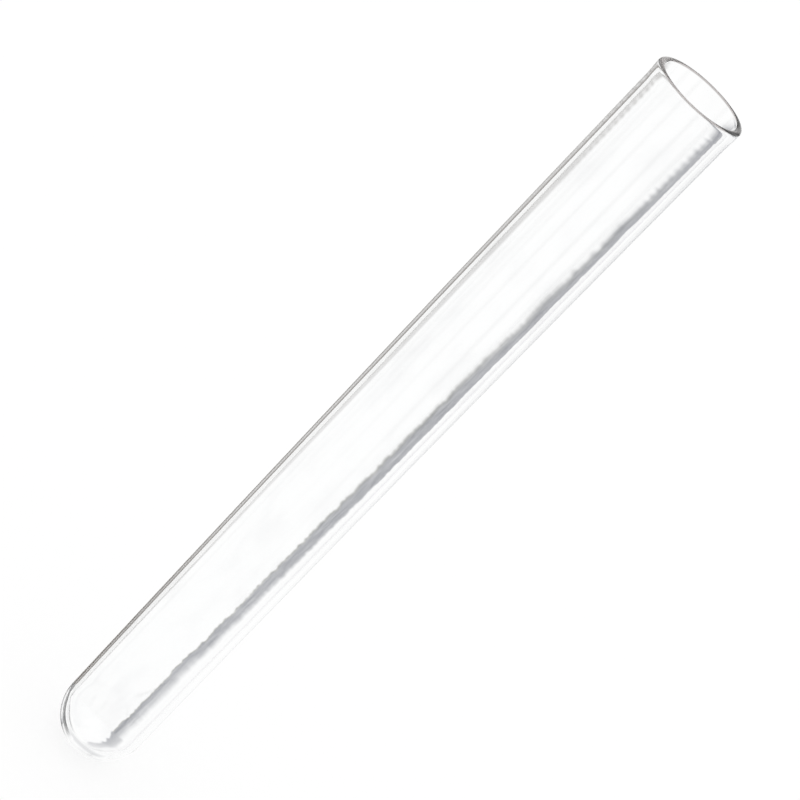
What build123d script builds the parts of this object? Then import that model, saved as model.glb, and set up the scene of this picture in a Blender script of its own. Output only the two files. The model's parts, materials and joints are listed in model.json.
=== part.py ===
from build123d import *

import os

# A rimless laboratory test tube in borosilicate glass, 16 mm by 160 mm. All sizes are in millimetres.
#
# The tube stands on +Z with its mouth up. The origin is the lowest point of the round bottom, on the
# tube's axis. The real tube is one piece of glass: a length of drawn tubing, one end closed round in
# the flame and the other cut and melted smooth. Nothing is fitted to it, so there is one solid.

# Driving dimensions: a standard tube with a medium wall.
OUTER_DIAMETER = 16.0
OVERALL_LENGTH = 160.0
WALL = 1.1

# The closed end: the glass gathers a little at the tip as it is melted shut.
TIP_THICKNESS = 1.4

# The melted mouth: the cut edge draws back into a round lip that stands a little proud outside and
# stays flush with the bore inside, so a stopper of the bore's size still enters.
BEAD_PROUD = 0.12
BEAD_SWELL_LENGTH = 2.4

# Worked out from the sizes above.
OUTER_RADIUS = OUTER_DIAMETER / 2
INNER_RADIUS = OUTER_RADIUS - WALL
OUTER_DOME_Z = OUTER_RADIUS
INNER_DOME_Z = TIP_THICKNESS + INNER_RADIUS
LIP_RADIUS = (WALL + BEAD_PROUD) / 2
LIP_CENTRE_R = INNER_RADIUS + LIP_RADIUS
LIP_CENTRE_Z = OVERALL_LENGTH - LIP_RADIUS
OUTER_WALL_TOP_Z = LIP_CENTRE_Z - BEAD_SWELL_LENGTH


def outer_outline():
    """The outside, from the tip up: the half-round end, the straight wall and the swell of the bead."""
    end = CenterArc((0, OUTER_DOME_Z), OUTER_RADIUS, start_angle=-90, arc_size=90)
    wall = Line((OUTER_RADIUS, OUTER_DOME_Z), (OUTER_RADIUS, OUTER_WALL_TOP_Z))
    swell = Spline(
        (OUTER_RADIUS, OUTER_WALL_TOP_Z),
        (OUTER_RADIUS + BEAD_PROUD, LIP_CENTRE_Z),
        tangents=((0, 1), (0, 1)),
    )
    return [end, wall, swell]


def lip_outline():
    """The melted edge: a half circle over the top, from the outside of the bead to the bore."""
    return [CenterArc((LIP_CENTRE_R, LIP_CENTRE_Z), LIP_RADIUS, start_angle=0, arc_size=180)]


def inner_outline():
    """The inside, from the lip down: the straight bore and the half-round end."""
    bore = Line((INNER_RADIUS, LIP_CENTRE_Z), (INNER_RADIUS, INNER_DOME_Z))
    end = CenterArc((0, INNER_DOME_Z), INNER_RADIUS, start_angle=-90, arc_size=90)
    return [bore, end]


def glass_tube():
    """The whole tube: its half section, turned once about the axis."""
    tip = Line((0, TIP_THICKNESS), (0, 0))
    section = make_face([*outer_outline(), *lip_outline(), *inner_outline(), tip])
    return revolve(Plane.XZ * section, axis=Axis.Z)


os.makedirs("parts", exist_ok=True)
export_step(glass_tube(), "parts/glass_tube.step")
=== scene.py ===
import json
import math

import bmesh
import bpy
from mathutils import Matrix, Vector, noise


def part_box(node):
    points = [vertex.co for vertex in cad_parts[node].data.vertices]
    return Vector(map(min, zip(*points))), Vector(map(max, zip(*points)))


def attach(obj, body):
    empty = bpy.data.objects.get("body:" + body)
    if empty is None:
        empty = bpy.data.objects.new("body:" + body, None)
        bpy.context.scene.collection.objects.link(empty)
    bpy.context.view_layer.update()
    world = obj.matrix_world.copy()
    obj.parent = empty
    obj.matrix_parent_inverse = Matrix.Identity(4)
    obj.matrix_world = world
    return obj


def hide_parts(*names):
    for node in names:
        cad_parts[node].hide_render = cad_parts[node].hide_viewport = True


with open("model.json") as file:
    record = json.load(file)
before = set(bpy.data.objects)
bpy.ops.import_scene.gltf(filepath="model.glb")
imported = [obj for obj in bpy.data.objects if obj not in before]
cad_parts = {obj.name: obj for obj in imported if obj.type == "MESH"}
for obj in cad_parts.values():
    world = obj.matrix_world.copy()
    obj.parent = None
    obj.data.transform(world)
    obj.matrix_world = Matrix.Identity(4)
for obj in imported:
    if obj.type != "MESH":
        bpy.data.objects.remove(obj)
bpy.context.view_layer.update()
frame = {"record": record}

MM = 0.001


def mount(name):
    """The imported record's mount of that name."""
    return next(m for m in frame["record"]["mounts"] if m["name"] == name)


# The tube's sizes, in metres, from the frame.
TUBE_LOW, TUBE_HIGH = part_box("glass_tube")
LENGTH = TUBE_HIGH.z - TUBE_LOW.z
LIP_OUTER = (TUBE_HIGH.x - TUBE_LOW.x) / 2
OUTER = mount("outside_wall")["dims"]["r_mm"] * MM
INNER = mount("mouth_bore")["dims"]["r_mm"] * MM
TIP_THICKNESS = 1.4 * MM
BEAD_SWELL = 2.4 * MM
LIP_ROUND = (LIP_OUTER - INNER) / 2

# Drawn tubing is never quite straight: this far out at mid-length.
BOW = 0.25 * MM

# How finely the tube's mesh is cut.
AROUND = 288
DOME_RINGS = 48
WALL_RINGS = 96
SWELL_RINGS = 10
LIP_RINGS = 28

# Borosilicate glass, clear and dusty, and a brown-grey painted shade on its fire-polished lip, standing
# in for the darkness the wall guides up into it.
GLASS_IOR = 1.47
CLEAR = (0.995, 0.997, 0.997)
DUSTY = (0.945, 0.947, 0.95)
LIP_PAINTED_SHADE = (0.26, 0.228, 0.222)

# The lip's painted shade comes in between these depths below the very top, in radii of the lip's round.
LIP_SHADE_START = 0.5
LIP_SHADE_FULL = 0.2

# Dust lies in patches, drawn out along the tube, and blurs what shows through it.
DUST_SCALE = 240
DUST_DETAIL = 6
DUST_STRETCH = 0.4
DUST_START = 0.52
DUST_FULL = 0.78
DUST_ROUGHNESS = 0.07

# Draw lines: very shallow, fine ridges that run along the wall.
RIDGE_SCALE = 900
RIDGE_DETAIL = 3
RIDGE_STRETCH = 0.06
RIDGE_STRENGTH = 0.3
RIDGE_HEIGHT = 0.001 * MM

# The camera, a photographer's arm's length away and above, rolled so that the tube leans right.
CAMERA_PLACE = Vector((0, -338.55, 252.85)) * MM
CAMERA_PAN = math.radians(0.17)
CAMERA_TILT = math.radians(-25.604)
CAMERA_ROLL = math.radians(43.77)
CAMERA_LENS = 106.7
CAMERA_NEAR = 0.01
CAMERA_FAR = 50

# The floor is a light table: white card that mostly shines by itself.
FLOOR_RADIUS = 6.0
FLOOR_SEGMENTS = 96
FLOOR_GREY = 0.12
FLOOR_GLOW = 0.88

# One soft box overhead, in a white room.
SOFT_BOX_SIZE = 2.4
SOFT_BOX_HEIGHT = 2.2
SOFT_BOX_POWER = 3.0
ROOM_GLOW = 1.0

# Enough bounces for light that runs along inside the wall.
BOUNCES = 96

# The grey cards close by the tube, painted shade that only the glass sees: how their greys lean in red,
# green and blue, the pitch of the fine ribs on them, and how close to the glass the nearest one comes, in
# tube radii.
EDGE_TINT = (0.98, 1.0, 1.02)
BAND_TINT = (1.02, 1.01, 0.965)
FRINGE_TINT = (0.96, 0.97, 1.12)
NO_TINT = (1, 1, 1)
RIB_PITCH = 1.4 * MM
EDGE_GAP = 1.004

# Where the cards stand, in tube lengths: their foot just off the floor, and their head at the mouth.
CARD_FOOT = 0.001
CARD_HEAD = 0.99

# The number of rows up a card that carries fine ribs.
RIBBED_ROWS = 640

# The card of painted shade round the closed end: how many rows it has, and the angles, in degrees from
# the tube's left side down to its tip, that it starts and ends at.
FOOT_EDGE_ROWS = 13
FOOT_EDGE_START = 80
FOOT_EDGE_END = 0

# The card of painted shadow on the floor under the tube, in tube radii: how far it reaches, and where the
# grey tail on it lies, from its front end to its back end.
FLOOR_CARD_REACH = 1.2
FLOOR_CARD_BACK = 1.05
TAIL_FRONT = -0.6
TAIL_BACK = 1.05
TAIL_LEFT = (-0.1, 0.26, 0.42, 0.38)
TAIL_RIGHT = (0.3, 0.66, 0.9, 0.95)

# Grey strips round the studio, painted shade that only the glass sees, by azimuth from straight behind
# the tube, in degrees.
RING_AZIMUTHS = (26, 68, 110, 205, 245, 335)
RING_FAR_ONLY = (335,)
RING_MIDWAY = (26,)
RING_WIDTH = 17
RING_GREY = 0.25

# How far from the tube a strip starts, how far out it turns up the wall, how high it goes, and how
# far it stays clear of the floor.
RING_NEAR_START = 0.03
RING_MID_START = 0.17
RING_FAR_START = 0.75
RING_RADIUS = 1.0
RING_HEIGHT = 0.6
RING_LIFT = 0.3 * MM


def smooth(t):
    """An S-curve from 0 to 1."""
    return t * t * (3 - 2 * t)


def mix(a, b, t):
    """The value a share t of the way from a to b."""
    return a + (b - a) * t


def share(low, high, value):
    """How far value is from low to high, kept between 0 and 1."""
    return min(max((value - low) / (high - low), 0), 1)


def along_values(values, t):
    """The value a share t of the way along a row of values, evenly spaced."""
    place = t * (len(values) - 1)
    k = min(int(place), len(values) - 2)
    return mix(values[k], values[k + 1], place - k)


def along_line(points, t):
    """The point a share t of the way along a line of points, each leg counting the same."""
    place = t * (len(points) - 1)
    k = min(int(place), len(points) - 2)
    return points[k].lerp(points[k + 1], place - k)


def notch(u, rise, fall_start, fall_end):
    """1 inside a band and 0 outside it, with a soft start of width rise and a soft end."""
    return smooth(share(0, rise, u)) * smooth(1 - share(fall_start, fall_end, u))


def ripple(across, along):
    """Slow random waviness between about -1 and 1."""
    return noise.noise(Vector((across, along, 0.5))) * 2


def ribs(point):
    """Fine even ribs up the tube, between -1 and 1."""
    return math.sin(point.z / RIB_PITCH * 2 * math.pi)


def tube_profile():
    """(radius, height) from the outside tip, up over the lip and down the bore to the inside tip."""
    points = []
    for k in range(1, DOME_RINGS + 1):
        a = math.pi / 2 * k / DOME_RINGS
        points.append((OUTER * math.sin(a), OUTER - OUTER * math.cos(a)))
    lip_z = LENGTH - LIP_ROUND
    wall_top = lip_z - BEAD_SWELL
    for k in range(1, WALL_RINGS + 1):
        points.append((OUTER, OUTER + (wall_top - OUTER) * k / WALL_RINGS))
    for k in range(1, SWELL_RINGS + 1):
        t = k / SWELL_RINGS
        points.append((OUTER + (LIP_OUTER - OUTER) * smooth(t), wall_top + BEAD_SWELL * t))
    for k in range(1, LIP_RINGS + 1):
        a = math.pi * k / LIP_RINGS
        points.append((INNER + LIP_ROUND + LIP_ROUND * math.cos(a), lip_z + LIP_ROUND * math.sin(a)))
    inner_dome_z = TIP_THICKNESS + INNER
    for k in range(1, WALL_RINGS + 1):
        points.append((INNER, lip_z + (inner_dome_z - lip_z) * k / WALL_RINGS))
    for k in range(1, DOME_RINGS):
        a = math.pi / 2 * k / DOME_RINGS
        points.append((INNER * math.cos(a), inner_dome_z - INNER * math.sin(a)))
    return points


def lathe(name, profile, low_tip, high_tip):
    """A closed surface of revolution about Z: rings of the profile between two points on the axis."""
    mesh = bpy.data.meshes.new(name)
    bm = bmesh.new()
    rings = []
    for r, z in profile:
        ring = []
        for k in range(AROUND):
            a = 2 * math.pi * k / AROUND
            ring.append(bm.verts.new((r * math.cos(a), r * math.sin(a), z)))
        rings.append(ring)
    for below, above in zip(rings, rings[1:]):
        for k in range(AROUND):
            n = (k + 1) % AROUND
            bm.faces.new((below[k], below[n], above[n], above[k]))
    start = bm.verts.new((0, 0, low_tip))
    end = bm.verts.new((0, 0, high_tip))
    for k in range(AROUND):
        n = (k + 1) % AROUND
        bm.faces.new((start, rings[0][n], rings[0][k]))
        bm.faces.new((end, rings[-1][k], rings[-1][n]))
    bmesh.ops.recalc_face_normals(bm, faces=bm.faces)
    for f in bm.faces:
        f.smooth = True
    for v in bm.verts:
        t = v.co.z / LENGTH
        v.co.x -= BOW * 4 * t * (1 - t)
    bm.to_mesh(mesh)
    bm.free()
    piece = bpy.data.objects.new(name, mesh)
    bpy.context.scene.collection.objects.link(piece)
    return piece


def stretched(tree, place, stretch):
    """The object's own coordinates with Z scaled, so that a pattern is drawn out along the tube."""
    node = tree.nodes.new("ShaderNodeMapping")
    node.inputs["Scale"].default_value = (1, 1, stretch)
    tree.links.new(place.outputs["Object"], node.inputs["Vector"])
    return node


def noise_texture(tree, vector, scale, detail):
    """A noise pattern on those coordinates."""
    node = tree.nodes.new("ShaderNodeTexNoise")
    node.inputs["Scale"].default_value = scale
    node.inputs["Detail"].default_value = detail
    tree.links.new(vector.outputs["Vector"], node.inputs["Vector"])
    return node


def colour_mix(tree):
    """A node that mixes two colours."""
    node = tree.nodes.new("ShaderNodeMix")
    node.data_type = "RGBA"
    return node


def glass_material():
    """Clear borosilicate: draw lines and dust as fine relief and haze, and painted shade on the lip."""
    material = bpy.data.materials.new("clear_glass")
    material.use_nodes = True
    tree = material.node_tree
    shader = tree.nodes["Principled BSDF"]
    shader.inputs["IOR"].default_value = GLASS_IOR
    shader.inputs["Transmission Weight"].default_value = 1.0
    place = tree.nodes.new("ShaderNodeTexCoord")

    # Dust: it blurs and dulls the glass in patches.
    dust = noise_texture(tree, stretched(tree, place, DUST_STRETCH), DUST_SCALE, DUST_DETAIL)
    smudge = tree.nodes.new("ShaderNodeMapRange")
    smudge.inputs["From Min"].default_value = DUST_START
    smudge.inputs["From Max"].default_value = DUST_FULL
    tree.links.new(dust.outputs["Fac"], smudge.inputs["Value"])
    haze = tree.nodes.new("ShaderNodeMath")
    haze.operation = "MULTIPLY"
    haze.inputs[1].default_value = DUST_ROUGHNESS
    tree.links.new(smudge.outputs["Result"], haze.inputs[0])
    tree.links.new(haze.outputs["Value"], shader.inputs["Roughness"])
    dusty = colour_mix(tree)
    dusty.inputs["A"].default_value = (*CLEAR, 1)
    dusty.inputs["B"].default_value = (*DUSTY, 1)
    tree.links.new(smudge.outputs["Result"], dusty.inputs["Factor"])

    # The lip: painted shade comes in over the rounded top.
    height = tree.nodes.new("ShaderNodeSeparateXYZ")
    tree.links.new(place.outputs["Object"], height.inputs["Vector"])
    lip = tree.nodes.new("ShaderNodeMapRange")
    lip.interpolation_type = "SMOOTHSTEP"
    lip.inputs["From Min"].default_value = LENGTH - LIP_ROUND * LIP_SHADE_START
    lip.inputs["From Max"].default_value = LENGTH - LIP_ROUND * LIP_SHADE_FULL
    tree.links.new(height.outputs["Z"], lip.inputs["Value"])
    colour = colour_mix(tree)
    tree.links.new(dusty.outputs["Result"], colour.inputs["A"])
    colour.inputs["B"].default_value = (*LIP_PAINTED_SHADE, 1)
    tree.links.new(lip.outputs["Result"], colour.inputs["Factor"])
    tree.links.new(colour.outputs["Result"], shader.inputs["Base Color"])

    # Draw lines: fine ridges along the wall.
    ridges = noise_texture(tree, stretched(tree, place, RIDGE_STRETCH), RIDGE_SCALE, RIDGE_DETAIL)
    relief = tree.nodes.new("ShaderNodeBump")
    relief.inputs["Strength"].default_value = RIDGE_STRENGTH
    relief.inputs["Distance"].default_value = RIDGE_HEIGHT
    tree.links.new(ridges.outputs["Fac"], relief.inputs["Height"])
    tree.links.new(relief.outputs["Normal"], shader.inputs["Normal"])
    return material


def make_tube():
    """The glass tube, on the frame's body, in place of the CAD tube."""
    tube = lathe("test_tube", tube_profile(), 0.0, TIP_THICKNESS)
    tube.data.materials.append(glass_material())
    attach(tube, "root")
    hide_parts("glass_tube")


def make_camera():
    """The scene's camera: panned, tipped down and rolled, in that order."""
    data = bpy.data.cameras.new("camera")
    data.lens = CAMERA_LENS
    data.clip_start = CAMERA_NEAR
    data.clip_end = CAMERA_FAR
    camera = bpy.data.objects.new("camera", data)
    bpy.context.scene.collection.objects.link(camera)
    turn = Matrix.Rotation(CAMERA_PAN, 4, "Z")
    tip = Matrix.Rotation(math.pi / 2 + CAMERA_TILT, 4, "X")
    roll = Matrix.Rotation(CAMERA_ROLL, 4, "Z")
    camera.matrix_world = Matrix.Translation(CAMERA_PLACE) @ turn @ tip @ roll
    bpy.context.scene.camera = camera


def floor_material():
    """Matt white card that mostly shines by itself, so that the tube casts next to no shade on it."""
    material = bpy.data.materials.new("pale_floor")
    material.use_nodes = True
    tree = material.node_tree
    shader = tree.nodes["Principled BSDF"]
    shader.inputs["Base Color"].default_value = (FLOOR_GREY, FLOOR_GREY, FLOOR_GREY, 1)
    shader.inputs["Roughness"].default_value = 1.0
    shader.inputs["Specular IOR Level"].default_value = 0.0
    shader.inputs["Emission Color"].default_value = (1, 1, 1, 1)
    shader.inputs["Emission Strength"].default_value = FLOOR_GLOW
    material.cycles.emission_sampling = "NONE"
    return material


def make_floor():
    """A round floor under the tube."""
    mesh = bpy.data.meshes.new("floor")
    bm = bmesh.new()
    bmesh.ops.create_circle(bm, cap_ends=True, radius=FLOOR_RADIUS, segments=FLOOR_SEGMENTS)
    bm.to_mesh(mesh)
    bm.free()
    mesh.materials.append(floor_material())
    floor = bpy.data.objects.new("floor", mesh)
    bpy.context.scene.collection.objects.link(floor)


def card_material(name):
    """Unlit card paint for painted shade: each point's own grey, seen from the card's front side only."""
    material = bpy.data.materials.new(name)
    material.use_nodes = True
    material.cycles.emission_sampling = "NONE"
    tree = material.node_tree
    tree.nodes.clear()
    attribute = tree.nodes.new("ShaderNodeAttribute")
    attribute.attribute_name = "grey"
    shader = tree.nodes.new("ShaderNodeEmission")
    clear = tree.nodes.new("ShaderNodeBsdfTransparent")
    side = tree.nodes.new("ShaderNodeNewGeometry")
    choice = tree.nodes.new("ShaderNodeMixShader")
    output = tree.nodes.new("ShaderNodeOutputMaterial")
    tree.links.new(attribute.outputs["Color"], shader.inputs["Color"])
    tree.links.new(side.outputs["Backfacing"], choice.inputs["Fac"])
    tree.links.new(shader.outputs[0], choice.inputs[1])
    tree.links.new(clear.outputs[0], choice.inputs[2])
    tree.links.new(choice.outputs[0], output.inputs[0])
    return material


def card(name, rows, grey, across=24, along=96):
    """A card of painted shade that only the glass sees. rows are lines of points, from the card's foot to
    its head; grey(u, v, point) gives its colour, with u along each row and v up the card."""
    mesh = bpy.data.meshes.new(name)
    bm = bmesh.new()
    paint = bm.verts.layers.float_color.new("grey")
    grid = []
    for j in range(along + 1):
        v = j / along
        line = []
        for i in range(across + 1):
            u = i / across
            point = along_line([along_line(row, u) for row in rows], v)
            vertex = bm.verts.new(point)
            vertex[paint] = (*grey(u, v, point), 1)
            line.append(vertex)
        grid.append(line)
    for low, high in zip(grid, grid[1:]):
        for i in range(across):
            bm.faces.new((low[i], low[i + 1], high[i + 1], high[i]))
    bm.to_mesh(mesh)
    bm.free()
    mesh.materials.append(card_material(name))
    painted_card = bpy.data.objects.new(name, mesh)
    bpy.context.scene.collection.objects.link(painted_card)
    painted_card.visible_camera = False
    painted_card.visible_diffuse = False
    painted_card.visible_shadow = False
    return painted_card


def beside(across, behind, height):
    """A place by the tube: across and behind its axis in tube radii, height in tube lengths."""
    return Vector((across * OUTER, behind * OUTER, height * LENGTH))


def around_foot(angle, out, behind):
    """A place round the outline of the foot as the camera sees it: angle from the tube's left side
    down to its tip, out from the foot's centre and behind it in tube radii."""
    centre = Vector((0, 0, OUTER))
    back = (centre - CAMERA_PLACE).normalized()
    down = Vector((0, back.z, -back.y))
    side = Vector((-1, 0, 0)) * math.cos(angle) + down * math.sin(angle)
    return centre + (side * out + back * behind) * OUTER


def tinted(level, tint):
    """A grey of that level, its shortfall from white weighted by the tint for red, green and blue."""
    return tuple(1 - (1 - level) * part for part in tint)


def edge_grey(u, v, point):
    """Near black along the outer edge. The inner edge pales up the card, and has ribs near its head."""
    depth = notch(u, 0.08, mix(0.92, 0.8, v), 1.0)
    outer_level = mix(0.0, 0.1, v)
    inner_level = mix(0.0, 0.8, smooth(share(0.02, 0.42, v)))
    inner_level += 0.15 * ribs(point) * share(0.82, 0.95, v)
    level = mix(outer_level, inner_level, smooth(u))
    return tinted(mix(1.0, level, depth), EDGE_TINT)


def make_edge_card():
    """Close by the tube's left side, leaning away from it towards the mouth: painted shade. The wall
    guides it into the dark line along the left edge and, near the mouth, the fainter line beside that."""
    card("edge_painted_shade", [
        [beside(-1.13, 0.0, 0.0), beside(-1.06, 0.0, 0.0), beside(-EDGE_GAP, 0.04, 0.0)],
        [beside(-1.55, 0.64, 1.0), beside(-1.22, 0.63, 1.0), beside(-0.85, 0.62, 1.0)],
    ], edge_grey, across=20, along=RIBBED_ROWS)


def outline_grey(u, v, point):
    """Black at the foot, dark grey at the head."""
    depth = notch(u, 0.15, 0.95, 1.0)
    return tinted(mix(1.0, mix(0.0, 0.3, v), depth), EDGE_TINT)


def make_outline_card():
    """Facing the tube's left side: a painted reflection. Only reflections off the glass show it, at the
    very outline.
    """
    outline = card("outline_painted_reflection", [
        [beside(-1.16, -0.02, 0.04), beside(-1.0, 0.09, 0.04)],
        [beside(-1.16, 0.06, 1.0), beside(-0.99, 0.17, 1.0)],
    ], outline_grey)
    outline.visible_transmission = False


def haze_grey(u, v, point):
    """A very light grey, darkest at the head."""
    depth = notch(u, 0.2, 0.7, 1.0)
    return tinted(mix(1.0, mix(0.99, 0.94, v), depth), BAND_TINT)


def make_haze_card():
    """Behind the tube's right side: painted shade, a faint veil between the grey band and the right edge.
    """
    card("haze_painted_shade", [
        [beside(0.86, 1.06, CARD_FOOT), beside(1.5, 1.06, CARD_FOOT)],
        [beside(1.18, 1.06, CARD_HEAD), beside(2.3, 1.06, CARD_HEAD)],
    ], haze_grey)


def foot_edge_grey(u, v, point):
    """Black, coming in from the tip."""
    depth = notch(u, 0.1, 0.85, 1.0) * smooth(share(0, 0.3, v))
    return tinted(mix(1.0, 0.0, depth), NO_TINT)


def make_foot_edge_card():
    """Round the closed end, from near its tip up its left side: painted shade that carries the dark edge
    line on.
    """
    rows = []
    for k in range(FOOT_EDGE_ROWS):
        t = k / (FOOT_EDGE_ROWS - 1)
        angle = math.radians(mix(FOOT_EDGE_START, FOOT_EDGE_END, t))
        rows.append([
            around_foot(angle, 1.09, -0.03),
            around_foot(angle, 1.03, -0.02),
            around_foot(angle, 1.003, mix(0.2, 0.06, t)),
        ])
    card("foot_edge_painted_shade", rows, foot_edge_grey)


def band_grey(u, v, point):
    """The painted shadow, a grey band with a wavy left edge: hard at the foot and soft at the head, a
    bluer fringe low down, fine ribs near the mouth and faint streaks all over."""
    wander = 0.035 * ripple(0, v * 30) + 0.035 * ripple(3, v * 100) + 0.03 * ripple(5, v * 300)
    streak = 0.05 * ripple(u * 5, v * 12) + 0.06 * ripple(u * 16, v * 70)
    ribbing = 0.05 * ribs(point) * share(0.85, 0.92, v)
    rise = mix(0.1, 0.65, v * v)
    fall = mix(0.15, 0.9, smooth(share(0, 0.6, v)))
    depth = notch(u - 0.03 - wander - ribbing, rise, fall, 1.0) * smooth(share(1.0, 0.985, v))
    left_level = mix(0.38, 0.42, v)
    right_level = mix(0.42, 0.22, v)
    fringe = (1 - share(rise * 0.4, rise * 1.6, u - wander)) * (1 - v)
    tint = [mix(inside, edge, fringe) for inside, edge in zip(BAND_TINT, FRINGE_TINT)]
    return tinted(mix(1.0, mix(left_level, right_level, u) + streak, depth), tint)


def make_band_card():
    """Close behind the tube, right of the middle: painted shadow, the tube's own shadow on the surface
    behind it, seen as the broad grey band through both walls.
    """
    card("band_painted_shadow", [
        [beside(0.38, 1.05, CARD_FOOT), beside(0.86, 1.05, CARD_FOOT)],
        [beside(0.65, 1.05, CARD_HEAD), beside(1.18, 1.05, CARD_HEAD)],
    ], band_grey, across=48, along=RIBBED_ROWS)


def tail_grey(x, y):
    """The grey tail on the floor, painted shadow which carries the band on round the closed end."""
    length_share = share(TAIL_FRONT, TAIL_BACK, y)
    left = along_values(TAIL_LEFT, length_share)
    right = along_values(TAIL_RIGHT, length_share)
    wander = 0.05 * ripple(0, y * 9) + 0.012 * ripple(1, y * 27)
    depth = smooth(share(0, 0.06, x - left - wander)) * smooth(share(0, 0.2, right - x))
    depth *= smooth(share(TAIL_FRONT, -0.1, y)) * (1 - 0.65 * share(left + 0.1, right, x))
    return mix(1.0, mix(0.66, 0.4, share(0.0, 0.9, y)), depth)


def arc_grey(x, y):
    """The soft grey arc on the floor under the front of the closed end: painted shade where the closed
    end meets the floor.
    """
    turn = math.degrees(math.atan2(-y, x))
    depth = notch(math.hypot(x, y) - 0.5, 0.16, 0.2, 0.4)
    depth *= smooth(share(5, 30, turn)) * smooth(share(160, 110, turn))
    return mix(1.0, 0.75, depth)


def floor_grey(u, v, point):
    """The darker of the tail and the arc."""
    x = point.x / OUTER
    y = point.y / OUTER
    return tinted(min(tail_grey(x, y), arc_grey(x, y)), BAND_TINT)


def make_floor_card():
    """Painted shadow on the floor under the closed end, seen only through the glass."""
    reach = FLOOR_CARD_REACH
    card("floor_painted_shadow", [
        [beside(-reach, -reach, CARD_FOOT), beside(reach, -reach, CARD_FOOT)],
        [beside(-reach, FLOOR_CARD_BACK, CARD_FOOT), beside(reach, FLOOR_CARD_BACK, CARD_FOOT)],
    ], floor_grey, across=96)


def ring_grey(u, v, point):
    """Darkest down the strip's middle, coming in from its near end."""
    level = mix(1.0, RING_GREY, notch(u, 0.5, 0.5, 1.0) * smooth(share(0, 0.15, v)))
    return (level, level, level)


def ring_place(azimuth, distance, height):
    """A place round the studio: azimuth from straight behind the tube, turning to the camera's left."""
    return Vector((-math.sin(azimuth) * distance, math.cos(azimuth) * distance, height))


def make_ring():
    """Grey strips on the studio's floor and walls, seen only by the glass: painted shade that draws the
    glass's edges from every side.
    """
    for middle in RING_AZIMUTHS:
        left = math.radians(middle + RING_WIDTH / 2)
        right = math.radians(middle - RING_WIDTH / 2)
        start = RING_NEAR_START
        if middle in RING_MIDWAY:
            start = RING_MID_START
        if middle in RING_FAR_ONLY:
            start = RING_FAR_START
        rows = []
        for distance, height in ((start, 0.0), (RING_RADIUS, 0.0), (RING_RADIUS, RING_HEIGHT)):
            lifted = height + RING_LIFT
            rows.append([ring_place(left, distance, lifted), ring_place(right, distance, lifted)])
        card("ring_painted_shade", rows, ring_grey)


def make_light():
    """One large soft box overhead."""
    data = bpy.data.lights.new("soft_box", "AREA")
    data.shape = "DISK"
    data.size = SOFT_BOX_SIZE
    data.energy = SOFT_BOX_POWER
    light = bpy.data.objects.new("soft_box", data)
    light.location = (0, 0, SOFT_BOX_HEIGHT)
    bpy.context.scene.collection.objects.link(light)


def make_world():
    """A white room."""
    world = bpy.data.worlds.new("studio")
    world.use_nodes = True
    background = world.node_tree.nodes["Background"]
    background.inputs["Color"].default_value = (1, 1, 1, 1)
    background.inputs["Strength"].default_value = ROOM_GLOW
    bpy.context.scene.world = world


def set_picture():
    """True whites, and light followed as far as it runs inside the glass."""
    scene = bpy.context.scene
    scene.view_settings.view_transform = "Standard"
    scene.cycles.max_bounces = BOUNCES
    scene.cycles.transmission_bounces = BOUNCES
    scene.cycles.glossy_bounces = BOUNCES


make_camera()
make_tube()
make_floor()
make_world()
make_light()
make_edge_card()
make_outline_card()
make_haze_card()
make_foot_edge_card()
make_band_card()
make_floor_card()
make_ring()
set_picture()
